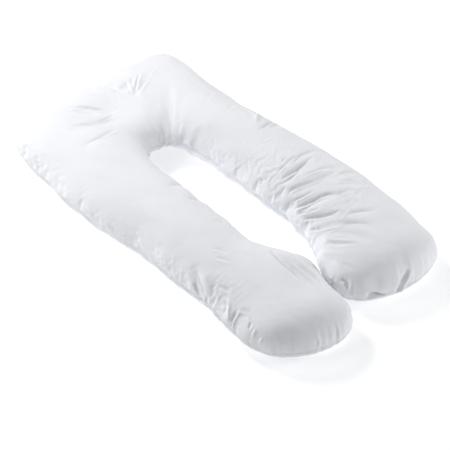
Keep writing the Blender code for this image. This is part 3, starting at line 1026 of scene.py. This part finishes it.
@dataclass
class SeamGathers:
    """The small tucks that run from the seam into both panels, and the seam's own groove."""

    seed: int = 11
    spacing: tuple[float, float] = (0.011, 0.034)
    half_width: tuple[float, float] = (0.0035, 0.0085)
    depth: tuple[float, float] = (0.0006, 0.0024)
    signs: tuple[float, ...] = (1.0, 1.0, -0.6)
    reaches: tuple[float, ...] = (0.012, 0.022, 0.036)
    fade_power: float = 1.5
    groove_depth: float = 0.0022
    groove_width: float = 0.0035

    def tucks(self, run: np.ndarray, rng: np.random.Generator) -> list[np.ndarray]:
        """Place tucks at uneven steps along one seam of one panel.

        Each tuck is a bell curve of the distance along the seam, and about one in three puffs
        up in its place; the tucks are shared out between the reaches.

        Args:
            run: Distance of each ring along the seam.
            rng: The seeded number source.

        Returns:
            One row of depths along the seam for each reach.
        """
        count = int(run[-1] / np.mean(self.spacing)) + 1
        middle = np.cumsum(rng.uniform(*self.spacing, count))
        width = rng.uniform(*self.half_width, count)
        depth = rng.uniform(*self.depth, count) * rng.choice(self.signs, count)
        kind = rng.integers(0, len(self.reaches), count)
        away = (run[None, :] - middle[:, None]) / width[:, None]
        tucks = depth[:, None] * bell(away)
        return [tucks[kind == k].sum(axis=0) for k in range(len(self.reaches))]

    def depths(self, grid: np.ndarray, inner: int) -> np.ndarray:
        """Sum the tucks and the groove over the whole cloth.

        A tuck fades as exp(-(gap / reach)^power) from the seam, and the groove is a bell curve
        of the gap.

        Args:
            grid: Points shaped (rings, points around, 3).
            inner: Number of the point on each ring that lies on the inner seam.

        Returns:
            Depths in metres at each point.
        """
        rng = np.random.default_rng(self.seed)
        length, whole = around_lengths(grid)
        turned = length[:, inner][:, None]
        gaps = {
            (Edge.OUTER, Panel.TOP): length,
            (Edge.INNER, Panel.TOP): turned - length,
            (Edge.INNER, Panel.UNDER): length - turned,
            (Edge.OUTER, Panel.UNDER): whole - length,
        }
        over = np.arange(grid.shape[1]) <= inner
        total = self.groove_depth * bell(seam_gap(grid, inner) / self.groove_width)
        for (edge, panel), gap in gaps.items():
            run = run_along(grid[:, 0 if edge is Edge.OUTER else inner])
            on_panel = over if panel is Panel.TOP else ~over
            for reach, row in zip(self.reaches, self.tucks(run, rng)):
                fade = np.exp(-((np.maximum(gap, 0.0) / reach) ** self.fade_power))
                total += np.where(on_panel[None, :] & (gap >= 0.0), row[:, None] * fade, 0.0)
        return total


@dataclass
class Crumple:
    """The faint unevenness of cotton over loose filling, as three layers of smooth noise."""

    seed: int = 5
    cells: tuple[tuple[int, int], ...] = ((20, 6), (62, 18), (150, 44))
    heights: tuple[float, ...] = (0.0018, 0.0009, 0.00025)

    def heights_on(self, along: np.ndarray, around: int) -> np.ndarray:
        """Fill a grid with smooth uneven heights.

        Each layer is a table of random numbers, read between its rows and columns with a
        cubic in both directions.

        Args:
            along: Place of each ring along the U, from 0 to 1.
            around: Points round each ring.

        Returns:
            Heights in metres, shaped (rings, around).
        """
        rng = np.random.default_rng(self.seed)
        total = np.zeros((len(along), around))
        for (long, short), height in zip(self.cells, self.heights):
            table = rng.normal(0.0, 1.0, (long, short))
            tall = cubic(table, along * (long - 1.0), closed=False)
            turn = np.arange(around) * short / around
            total += height * cubic(tall.T, turn, closed=True).T
        return total


@dataclass(frozen=True)
class PhotoCamera:
    """The photograph's camera in the pillow's frame, 43 degrees above the horizon.

    A place in the picture is matched with cloth within a few pixels of it, and no more than
    same_side behind the nearest of that. Beyond furthest the touching plane isn't trusted.
    """

    place: tuple[float, float, float] = (-2.540926, -2.902365, 3.533401)
    aim: tuple[float, float, float] = (-0.030187, -0.064490, 0.0)
    sensor: float = 36.0
    lens: float = 128.0
    picture_side: float = 450.0
    near_pixels: float = 2.0
    spare_pixels: float = 0.5
    same_side: float = 0.050
    furthest: float = 0.010

    def cast(self, seen: np.ndarray, points: np.ndarray, normals: np.ndarray) -> np.ndarray:
        """Carry places in the picture onto the cloth.

        Each place takes the cloth point that looks nearest to it, among those that face the
        camera and aren't hidden by nearer cloth, and then the spot where its own ray meets
        the plane that touches the cloth there.

        Args:
            seen: Places in pixels, shaped (count, 2).
            points: Points of the cloth, shaped (points, 3).
            normals: Their unit normals.

        Returns:
            Places on the cloth, shaped (count, 3).
        """
        start = np.array(self.place)
        forward = unit(np.array(self.aim) - start)
        right = unit(np.cross(forward, (0.0, 0.0, 1.0)))
        up = np.cross(right, forward)
        scale = self.lens / self.sensor * self.picture_side
        offset = points - start
        away = offset @ forward
        across = scale * (offset @ right) / away
        upward = scale * (offset @ up) / away
        facing = np.sum(offset * normals, axis=1) < 0.0
        found = []
        for x, y in seen - self.picture_side / 2.0:
            gap = np.where(facing, np.hypot(across - x, upward + y), np.inf)
            close = gap < max(self.near_pixels, gap.min() + self.spare_pixels)
            close &= away < away[close].min() + self.same_side
            nearest = int(np.argmin(np.where(close, gap, np.inf)))
            ray = scale * forward + x * right - y * up
            normal = normals[nearest]
            spot = start + (offset[nearest] @ normal) / (ray @ normal) * ray
            slip = np.linalg.norm(spot - points[nearest])
            found.append(spot if slip < self.furthest else points[nearest])
        return np.array(found)


@dataclass
class PressedCreases:
    """The single fine creases of the cloth, each along its own line."""

    camera: PhotoCamera = PhotoCamera()
    end_share: float = 0.05
    end_power: float = 0.8
    lean: float = 0.75
    steep_side: float = 1.45
    long_side: float = 0.85
    lip_share: float = 0.45
    lip_place: float = 1.5
    lip_width: float = 0.75
    reach_widths: float = 4.5

    def depth_of(self, crease: Crease, points: np.ndarray, normals: np.ndarray) -> np.ndarray:
        """Work out how deep one crease presses at some points.

        The trough is a bell curve of the distance from the line, within the surface, which
        is narrower on the lip's side. A lower bell beside it lifts the lip. Both swell from
        the line's ends as a power of the sine of the share of the line raised to the lean,
        so that the deepest place lies before the middle.

        Args:
            crease: The crease.
            points: Points of the cloth, shaped (count, 3).
            normals: Their unit normals.

        Returns:
            One depth in metres for each point.
        """
        steps = np.diff(crease.line, axis=0)
        sizes = np.linalg.norm(steps, axis=1)
        begins = run_along(crease.line)
        best = np.full(len(points), np.inf)
        side, share = np.zeros(len(points)), np.zeros(len(points))
        for start, step, size, begin in zip(crease.line, steps, sizes, begins):
            offset = points - start
            along = np.clip(offset @ step / size**2, 0.0, 1.0)
            away = offset - along[:, None] * step
            away -= np.sum(away * normals, axis=1)[:, None] * normals
            gap = np.linalg.norm(away, axis=1)
            left = np.sign(np.sum(away * np.cross(normals, step), axis=1))
            nearer = gap < best
            best = np.where(nearer, gap, best)
            side = np.where(nearer, left, side)
            share = np.where(nearer, (begin + along * size) / begins[-1], share)
        turned = np.pi * np.clip(share, 0.0, 1.0) ** self.lean
        swell = np.clip(np.sin(turned), 0.0, 1.0) ** self.end_power
        swell = self.end_share + (1.0 - self.end_share) * swell
        at = best * side / crease.half_width
        pinch = np.where(at * crease.side > 0.0, self.steep_side, self.long_side)
        trough = bell(at * (pinch if crease.side else 1.0))
        sides = (1.0, -1.0) if crease.side == 0 else (float(crease.side),)
        for lifted in sides:
            lip = bell((at - lifted * self.lip_place) / self.lip_width)
            trough -= self.lip_share / len(sides) * lip
        return crease.depth * swell * trough

    def traced(self, points: np.ndarray, normals: np.ndarray) -> list[Crease]:
        """Carry the seen creases onto the cloth, each with its hidden run and its full depth.

        Args:
            points: Points of the cloth, shaped (count, 3).
            normals: Their unit normals.

        Returns:
            The creases as lines on the cloth.
        """
        creases = []
        for place, rows in CREASES.items():
            for row in rows:
                seen = np.array(row.points)
                if row.hidden_run:
                    back = seen[0] - row.hidden_run * unit(seen[1] - seen[0])
                    seen = np.vstack((back, seen))
                line = self.camera.cast(seen, points, normals)
                depth = row.depth * DEEPER.get(place, 1.0)
                creases.append(Crease(line, row.half_width, depth, row.side))
        return creases

    def depths(self, grid: np.ndarray, more: list[Crease]) -> np.ndarray:
        """Sum the creases over the whole cloth, each over the points near it alone.

        Args:
            grid: Points shaped (rings, points around, 3).
            more: Creases besides the table's.

        Returns:
            Depths in metres at each point.
        """
        points = grid.reshape(-1, 3)
        normals = outward(grid).reshape(-1, 3)
        total = np.zeros(len(points))
        for crease in (*self.traced(points, normals), *more):
            reach = self.reach_widths * crease.half_width
            low, high = crease.line.min(axis=0) - reach, crease.line.max(axis=0) + reach
            near = np.flatnonzero(((points >= low) & (points <= high)).all(axis=1))
            total[near] += self.depth_of(crease, points[near], normals[near])
        return total.reshape(grid.shape[:2])


@dataclass
class EndTucks:
    """The deeper tucks that the seam draws into the round ends of the two arms."""

    seed: int = 23
    spacing: tuple[float, float] = (0.020, 0.055)
    reach: tuple[float, float] = (0.014, 0.032)
    half_width: tuple[float, float] = (0.0050, 0.0085)
    depth: tuple[float, float] = (0.0007, 0.0026)
    under_reach: float = 0.012
    look_ahead: float = 0.010

    def on_end(self, grid: np.ndarray, inner: int, rng: np.random.Generator) -> list[Crease]:
        """Place tucks at uneven steps round one arm's end.

        A tuck's line starts on the underside, crosses the seam and climbs the top panel at
        right angles to the seam in plan. Each of its points is the cloth point that is
        nearest to it in plan.

        Args:
            grid: Rings of the round end, the one at the tip first.
            inner: Number of the point on each ring that lies on the inner seam.
            rng: The seeded number source.

        Returns:
            The tucks.
        """
        seam = np.concatenate((grid[::-1, 0], grid[:, inner]))
        run = run_along(seam)
        places = np.cumsum(rng.uniform(*self.spacing, int(run[-1] / self.spacing[0])))
        places = places[places < run[-1]]
        top = grid[:, : inner + 1].reshape(-1, 3)
        under = grid[:, inner:].reshape(-1, 3)
        middle = seam.mean(axis=0)
        tucks = []
        for place in places:
            at, ahead = (
                np.array([np.interp(spot, run, seam[:, k]) for k in range(3)])
                for spot in (place, place + self.look_ahead)
            )
            inward = unit(np.array((at[1] - ahead[1], ahead[0] - at[0])))
            inward *= np.sign(inward @ (middle - at)[0:2])
            reach = rng.uniform(*self.reach)
            line = [at]
            for panel, far in ((under, self.under_reach), (top, reach / 2.0), (top, reach)):
                goal = at[0:2] + inward * far
                line.append(panel[np.argmin(np.linalg.norm(panel[:, 0:2] - goal, axis=1))])
            path = np.array([line[k] for k in (1, 0, 2, 3)])
            width, depth = rng.uniform(*self.half_width), rng.uniform(*self.depth)
            tucks.append(Crease(path, width, depth, int(rng.choice((-1, 1)))))
        return tucks

    def creases(self, grid: np.ndarray, rings: int, inner: int) -> list[Crease]:
        """Return the tucks of both ends.

        Args:
            grid: Points shaped (rings, points around, 3).
            rings: Rings in each round end.
            inner: Number of the point on each ring that lies on the inner seam.

        Returns:
            The tucks as creases.
        """
        rng = np.random.default_rng(self.seed)
        left = self.on_end(grid[:rings], inner, rng)
        return left + self.on_end(grid[::-1][:rings], inner, rng)


@dataclass(frozen=True)
class CottonPercale:
    """Bleached plain-woven cotton, washed and ironed once.

    To the eye it is a matt, slightly cool white with a soft sheen at grazing angles. Uneven
    yarns give it faint streaks along both threads, and painted shade greys a band along the
    seam, where its tucks lie.
    """

    cloth: str = "#E9EAEE"
    # Painted shade: the greyer colour mixed into the band along the seam, where the tucks lie
    shade: str = "#E4E6EA"
    thread: str = "#F2F3F6"
    roughness: float = 0.82
    specular: float = 0.30
    sheen: float = 0.25
    sheen_roughness: float = 0.45
    # Real yarns lie 0.3 mm apart; the weave is drawn 7 times as coarse so that a close view
    # shows it
    weave_pitch: float = 0.0021
    weave_height: float = 0.00010
    # Thick places in the yarn, real ones 0.5 mm wide and 20 mm long, drawn 3 mm wide and
    # 45 mm long
    slub_width: float = 0.0030
    slub_length: float = 0.045
    slub_height: float = 0.00025
    # Ironed-in wrinkles a centimetre apart
    wrinkle_size: float = 0.012
    wrinkle_height: float = 0.00045
    # The sewing thread crosses the groove every 2.5 mm in the real seam, drawn every 6 mm
    stitch_pitch: float = 0.006
    stitch_reach: float = 0.0028
    stitch_height: float = 0.0007
    # Faint clouds of whiter cloth, and the width of the painted shade's greyer band along the seam
    clouds_per_metre: float = 9.0
    shade_reach: float = 0.010

    def material(self) -> bpy.types.Material:
        """Build the shader.

        Returns:
            The material, which reads the cut's UV map and the two seam attributes.
        """
        made = bpy.data.materials.new("cotton_percale_white")
        made.use_nodes = True
        tree = made.node_tree
        surface = tree.nodes["Principled BSDF"]
        surface.inputs["Roughness"].default_value = self.roughness
        surface.inputs["Specular IOR Level"].default_value = self.specular
        surface.inputs["Sheen Weight"].default_value = self.sheen
        surface.inputs["Sheen Roughness"].default_value = self.sheen_roughness
        cut = add_node(tree, "ShaderNodeUVMap", {"uv_map": "cut"}).outputs["UV"]
        height = self.add_cloth_relief(tree, cut)
        stitch = self.add_stitches(tree)
        total = add_node(
            tree, "ShaderNodeMath", {"operation": "ADD"}, {0: height, 1: stitch}
        ).outputs[0]
        bump = add_node(tree, "ShaderNodeBump", {"Distance": 1.0}, {"Height": total})
        tree.links.new(bump.outputs["Normal"], surface.inputs["Normal"])
        colour = self.add_colour(tree, cut)
        tree.links.new(colour, surface.inputs["Base Color"])
        return made

    def add_cloth_relief(
        self, tree: bpy.types.NodeTree, cut: bpy.types.NodeSocket
    ) -> bpy.types.NodeSocket:
        """Add the height of the weave, the slubs and the wrinkles.

        The weave is the product of two sine bands along the two threads. The slubs are noise
        drawn out along each thread, and the wrinkles are finer noise.

        Args:
            tree: The material's nodes.
            cut: The cloth's place in its flat cut, in metres.

        Returns:
            The height in metres.
        """
        parts: list[tuple[bpy.types.NodeSocket, float]] = []
        bands = []
        for direction in ("X", "Y"):
            wave = add_node(
                tree,
                "ShaderNodeTexWave",
                {
                    "wave_type": "BANDS",
                    "bands_direction": direction,
                    "wave_profile": "SIN",
                    "Scale": WAVE_BAND / self.weave_pitch,
                },
                {"Vector": cut},
            )
            bands.append(wave.outputs["Fac"])
        weave = add_node(
            tree, "ShaderNodeMath", {"operation": "MULTIPLY"}, {0: bands[0], 1: bands[1]}
        )
        parts.append((weave.outputs[0], self.weave_height))
        wide, long = 1.0 / self.slub_width, 1.0 / self.slub_length
        for scale in ((wide, long, 1.0), (long, wide, 1.0)):
            place = add_node(tree, "ShaderNodeMapping", {"Scale": scale}, {"Vector": cut})
            noise = add_node(
                tree,
                "ShaderNodeTexNoise",
                {"Scale": 1.0, "Detail": 1.0},
                {"Vector": place.outputs["Vector"]},
            )
            parts.append((noise.outputs["Fac"], self.slub_height))
        wrinkle = add_node(
            tree,
            "ShaderNodeTexNoise",
            {"Scale": 1.0 / self.wrinkle_size, "Detail": 2.0, "Distortion": 0.6},
            {"Vector": cut},
        )
        parts.append((wrinkle.outputs["Fac"], self.wrinkle_height))
        total = None
        for output, size in parts:
            sized = add_node(
                tree, "ShaderNodeMath", {"operation": "MULTIPLY", 1: size}, {0: output}
            ).outputs[0]
            if total is not None:
                sized = add_node(
                    tree, "ShaderNodeMath", {"operation": "ADD"}, {0: total, 1: sized}
                ).outputs[0]
            total = sized
        return total

    def add_stitches(self, tree: bpy.types.NodeTree) -> bpy.types.NodeSocket:
        """Add the height of the sewing thread that crosses the seam's groove.

        It is a sine of the distance along the seam, times one minus the share of the reach
        across it.

        Args:
            tree: The material's nodes.

        Returns:
            The height in metres.
        """
        gap = add_node(tree, "ShaderNodeAttribute", {"attribute_name": "seam_gap"})
        run = add_node(tree, "ShaderNodeAttribute", {"attribute_name": "seam_run"})
        turn = add_node(
            tree,
            "ShaderNodeMath",
            {"operation": "MULTIPLY", 1: 2.0 * math.pi / self.stitch_pitch},
            {0: run.outputs["Fac"]},
        )
        wave = add_node(tree, "ShaderNodeMath", {"operation": "SINE"}, {0: turn.outputs[0]})
        near = add_node(
            tree,
            "ShaderNodeMapRange",
            {"From Min": 0.0, "From Max": self.stitch_reach, "To Min": 1.0, "To Max": 0.0},
            {"Value": gap.outputs["Fac"]},
        )
        bars = add_node(
            tree,
            "ShaderNodeMath",
            {"operation": "MULTIPLY"},
            {0: wave.outputs[0], 1: near.outputs["Result"]},
        )
        return add_node(
            tree,
            "ShaderNodeMath",
            {"operation": "MULTIPLY", 1: self.stitch_height},
            {0: bars.outputs[0]},
        ).outputs[0]

    def add_colour(
        self, tree: bpy.types.NodeTree, cut: bpy.types.NodeSocket
    ) -> bpy.types.NodeSocket:
        """Add the white with its faint clouds, greyed with painted shade at the seam.

        Args:
            tree: The material's nodes.
            cut: The cloth's place in its flat cut, in metres.

        Returns:
            The colour.
        """
        clouds = add_node(
            tree,
            "ShaderNodeTexNoise",
            {"Scale": self.clouds_per_metre, "Detail": 3.0},
            {"Vector": cut},
        )
        light = add_node(
            tree,
            "ShaderNodeMix",
            {"data_type": "RGBA", MIX_FIRST: srgb(self.cloth), MIX_SECOND: srgb(self.thread)},
            {0: clouds.outputs["Fac"]},
        )
        # Painted shade: the cloth turns to the shade colour near the seam
        gap = add_node(tree, "ShaderNodeAttribute", {"attribute_name": "seam_gap"})
        far = add_node(
            tree,
            "ShaderNodeMapRange",
            {"From Min": 0.0, "From Max": self.shade_reach, "To Min": 0.0, "To Max": 1.0},
            {"Value": gap.outputs["Fac"]},
        )
        return add_node(
            tree,
            "ShaderNodeMix",
            {"data_type": "RGBA", MIX_FIRST: srgb(self.shade)},
            {0: far.outputs["Result"], MIX_SECOND: light.outputs[MIX_RESULT]},
        ).outputs[MIX_RESULT]


@dataclass
class BodyPillow:
    """The pillow: its fine cloth surface, dressed in cotton."""

    shape: FilledShape = field(default_factory=FilledShape)
    gathers: SeamGathers = field(default_factory=SeamGathers)
    end_tucks: EndTucks = field(default_factory=EndTucks)
    creases: PressedCreases = field(default_factory=PressedCreases)
    crumple: Crumple = field(default_factory=Crumple)
    finish: CottonPercale = field(default_factory=CottonPercale)
    rings_per_end: int = 70
    rings_between: int = 860
    top_steps: int = 170
    under_steps: int = 64
    section_half: float = 0.170
    section_crown: float = 0.105
    section_depth: float = 0.060
    seam_extra: float = 1.5
    seam_reach: float = 0.030
    section_steps: int = 2001
    calm_reach: float = 0.220
    calm_slope: float = 2.0
    calm_share: float = 0.5
    calm_passes: int = 4
    crumple_foot: float = 0.030
    tip_share: float = 0.25

    def turns(self) -> np.ndarray:
        """Choose the angles round the section, closer together beside the seams.

        They are read off the length along a section of typical size, one half superellipse
        over each panel. The points stand at even steps of the summed density, which is 1
        plus a bell curve of the distance from each seam.

        Returns:
            Angles from 0 up to just under a whole turn.
        """
        turn = np.linspace(0.0, np.pi, self.section_steps)
        angles = []
        for steps, start, height, fullness in (
            (self.top_steps, 0.0, self.section_crown, float(np.median(self.shape.table[:, 6]))),
            (self.under_steps, np.pi, self.section_depth, self.shape.under_fullness),
        ):
            across, upward = superellipse(turn, fullness)
            sizes = np.hypot(np.diff(across) * self.section_half, np.diff(upward) * height)
            length = np.concatenate(([0.0], np.cumsum(sizes)))
            gap = np.minimum(length, length[-1] - length)
            density = 1.0 + self.seam_extra * bell(gap / self.seam_reach)
            summed = np.cumsum(sizes * (density[1:] + density[:-1]) / 2.0)
            even = np.arange(steps) / steps * summed[-1]
            angles.append(start + np.interp(even, np.concatenate(([0.0], summed)), turn))
        return np.concatenate(angles)

    def swollen(self, distance: np.ndarray, turn: np.ndarray) -> ClothGrid:
        """Carry the simulated movement over to the fine grid.

        The tips are the first and last rings of the movement. Near them each point is drawn a
        few times halfway to the middle of its neighbours, because the simulation's rings are
        so close there that the cloth ripples from one to the next. The movement is then read
        between the simulation's points with a cubic in both directions.

        Args:
            distance: Distances of the fine rings along the U.
            turn: Angles of the fine points round the section.

        Returns:
            The movement of each fine point and of the two tips.
        """
        coarse, move = CushionSimulation(self.shape).run()
        around = move.points.shape[1]
        ends = np.repeat(move.tips[:, None, :], around, axis=1)
        rows = np.concatenate((ends[:1], move.points, ends[1:]))
        places = np.concatenate(([0.0], coarse, [self.shape.knots()[-1]]))
        gap = np.minimum(places, places[-1] - places)[1:-1, None, None] / self.calm_reach
        calm = self.calm_share * np.clip(self.calm_slope * (1.0 - gap), 0.0, 1.0)
        for _ in range(self.calm_passes):
            rows[1:-1] += calm * ((rows[:-2] + rows[2:]) / 2.0 - rows[1:-1])
            beside = (np.roll(rows, 1, axis=1) + np.roll(rows, -1, axis=1)) / 2.0
            rows[1:-1] += calm * (beside - rows)[1:-1]
        tall = cubic(rows, np.interp(distance, places, np.arange(len(places))), closed=False)
        wide = cubic(tall.transpose(1, 0, 2), turn * around / (2.0 * np.pi), closed=True)
        return ClothGrid(wide.transpose(1, 0, 2), move.tips)

    def surface(self, distance: np.ndarray, turn: np.ndarray) -> ClothGrid:
        """Work out the finished cloth.

        The filled shape, plus the simulated movement, minus the creases, the tucks and the
        crumple along the normal; nothing goes below the floor. The crumple and the seam's
        tucks fade out toward an arm's tip with the square of the share of full size, where
        the end's own tucks take over.

        Args:
            distance: Distances of the rings along the U.
            turn: Angles round the section.

        Returns:
            The finished grid and tips.
        """
        filled = self.shape.folded(distance, turn)
        move = self.swollen(distance, turn)
        share = self.shape.share(distance)[:, None]
        above = np.clip(filled[..., 2] / self.crumple_foot, 0.0, 1.0)
        along = distance / self.shape.knots()[-1]
        depth = above * self.crumple.heights_on(along, len(turn))
        depth += self.gathers.depths(filled, self.top_steps)
        depth *= share**2
        tucks = self.end_tucks.creases(filled, self.rings_per_end, self.top_steps)
        depth += self.creases.depths(filled, tucks) * np.minimum(share / self.tip_share, 1.0)
        grid = filled + move.points
        grid = grid - outward(grid) * depth[..., None]
        grid[..., 2] = np.maximum(grid[..., 2], 0.0)
        return ClothGrid(grid, self.shape.tips() + move.tips)

    def add_maps(
        self, mesh: bpy.types.Mesh, cover: ClothGrid, distance: np.ndarray, turn: np.ndarray
    ) -> None:
        """Give the mesh its UV map and the two seam attributes.

        The UV map is the place in the flat cut, in metres, because both panels' threads run
        straight along the length of the pillow whatever way the U turns.

        Args:
            mesh: The pillow's mesh.
            cover: The finished grid.
            distance: Distances of the rings along the U.
            turn: Angles round the section.
        """
        cut = ClothGrid(self.shape.flat_cut(distance, turn), self.shape.tips()).vertices()
        corners = np.empty(len(mesh.loops), dtype=np.int32)
        mesh.loops.foreach_get("vertex_index", corners)
        layer = mesh.uv_layers.new(name="cut")
        layer.uv.foreach_set("vector", cut[corners, 0:2].astype(np.float32).ravel())
        gap = seam_gap(cover.points, self.top_steps)
        along_outer, along_inner = (run_along(cover.points[:, k]) for k in (0, self.top_steps))
        length, whole = around_lengths(cover.points)
        outer = np.minimum(length, whole - length)
        run = np.where(outer <= gap + TINY, along_outer[:, None], along_inner[:, None])
        for name, values in (("seam_gap", gap), ("seam_run", run)):
            attribute = mesh.attributes.new(name, "FLOAT", "POINT")
            filled = np.append(values.ravel(), (0.0, 0.0)).astype(np.float32)
            attribute.data.foreach_set("value", filled)

    def build(self) -> bpy.types.Object:
        """Make the pillow in place of its plain solid.

        Returns:
            The finished object.
        """
        distance = self.shape.stations(self.rings_per_end, self.rings_between, crowded=True)
        turn = self.turns()
        cover = self.surface(distance, turn)
        mesh = cover.mesh("pillow_cover")
        self.add_maps(mesh, cover, distance, turn)
        mesh.materials.append(self.finish.material())
        pillow = add_object("pillow_cover", mesh)
        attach(pillow, "root")
        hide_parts("filled_u_body")
        LOG.info("pillow cover: %d faces", len(mesh.polygons))
        return pillow


class Lamp(NamedTuple):
    """One square soft light: its name, its place, its side in metres and its power in watts."""

    name: str
    place: tuple[float, float, float]
    size: float
    power: float


@dataclass(frozen=True)
class MattFloorPaint:
    """Matt wall paint rolled on a smooth board.

    To the eye it is an even, nearly white ground without shine. A little glow stands for the
    light that a real studio's floor gets from lamps beyond these.
    """

    colour: str = "#F6F7F8"
    roughness: float = 0.9
    specular: float = 0.2
    glow: float = 0.35

    def material(self) -> bpy.types.Material:
        """Build the shader.

        Returns:
            The material.
        """
        made = bpy.data.materials.new("matt_floor_paint")
        made.use_nodes = True
        surface = made.node_tree.nodes["Principled BSDF"]
        surface.inputs["Base Color"].default_value = srgb(self.colour)
        surface.inputs["Roughness"].default_value = self.roughness
        surface.inputs["Specular IOR Level"].default_value = self.specular
        surface.inputs["Emission Color"].default_value = (1.0, 1.0, 1.0, 1.0)
        surface.inputs["Emission Strength"].default_value = self.glow
        return made


@dataclass
class Studio:
    """The pale floor, the soft lights and the camera."""

    floor_half: float = 14.0
    floor_drop: float = 0.0008
    floor_finish: MattFloorPaint = MattFloorPaint()
    aim: tuple[float, float, float] = (0.0, 0.0, 0.1)
    lamps: tuple[Lamp, ...] = (
        Lamp("key_light", (-0.4, 2.8, 2.7), 1.4, 93.0),
        Lamp("left_fill", (-3.0, 1.3, 2.4), 2.0, 43.0),
        Lamp("top_fill", (0.0, 0.5, 4.5), 3.0, 29.0),
        Lamp("front_fill", (2.6, -2.8, 1.7), 2.0, 74.0),
    )
    sky_colour: str = "#F4F6FA"
    sky_strength: float = 0.12
    camera: PhotoCamera = PhotoCamera()

    def add_floor(self) -> bpy.types.Object:
        """Add the floor, a plain painted square just under the pillow.

        Returns:
            The floor object.
        """
        corners = ((-1, -1), (1, -1), (1, 1), (-1, 1))
        half, low = self.floor_half, -self.floor_drop
        mesh = bpy.data.meshes.new("floor")
        mesh.from_pydata([(x * half, y * half, low) for x, y in corners], [], [(0, 1, 2, 3)])
        mesh.materials.append(self.floor_finish.material())
        floor = add_object("floor", mesh)
        return floor

    def add_light(self, lamp: Lamp) -> bpy.types.Object:
        """Add one square soft light that faces the pillow.

        Args:
            lamp: The lamp's name, place, size and power.

        Returns:
            The light object.
        """
        data = bpy.data.lights.new(lamp.name, "AREA")
        data.shape = "SQUARE"
        data.size = lamp.size
        data.energy = lamp.power
        return add_aimed(lamp.name, data, lamp.place, self.aim)

    def add_sky(self) -> bpy.types.World:
        """Add the even light that comes from all round.

        Returns:
            The world.
        """
        world = bpy.data.worlds.new("studio_sky")
        world.use_nodes = True
        shade = world.node_tree.nodes["Background"]
        shade.inputs["Color"].default_value = srgb(self.sky_colour)
        shade.inputs["Strength"].default_value = self.sky_strength
        bpy.context.scene.world = world
        return world

    def add_camera(self) -> bpy.types.Object:
        """Add the camera where the photograph was taken from.

        Returns:
            The camera object, set as the scene's camera.
        """
        data = bpy.data.cameras.new("camera")
        data.sensor_width = self.camera.sensor
        data.lens = self.camera.lens
        camera = add_aimed("camera", data, self.camera.place, self.camera.aim)
        bpy.context.scene.camera = camera
        return camera

    def build(self) -> None:
        """Add the floor, the sky, the lamps and the camera."""
        bpy.context.scene.view_settings.view_transform = "Standard"
        self.add_floor()
        self.add_sky()
        for lamp in self.lamps:
            self.add_light(lamp)
        self.add_camera()
        LOG.info("studio: floor, sky, %d lamps and camera", len(self.lamps))


def main() -> None:
    """Build the studio and the pillow."""
    logging.basicConfig(level=logging.INFO, format="%(name)s: %(message)s")
    Studio().build()
    BodyPillow().build()


if __name__ == "__main__":
    main()
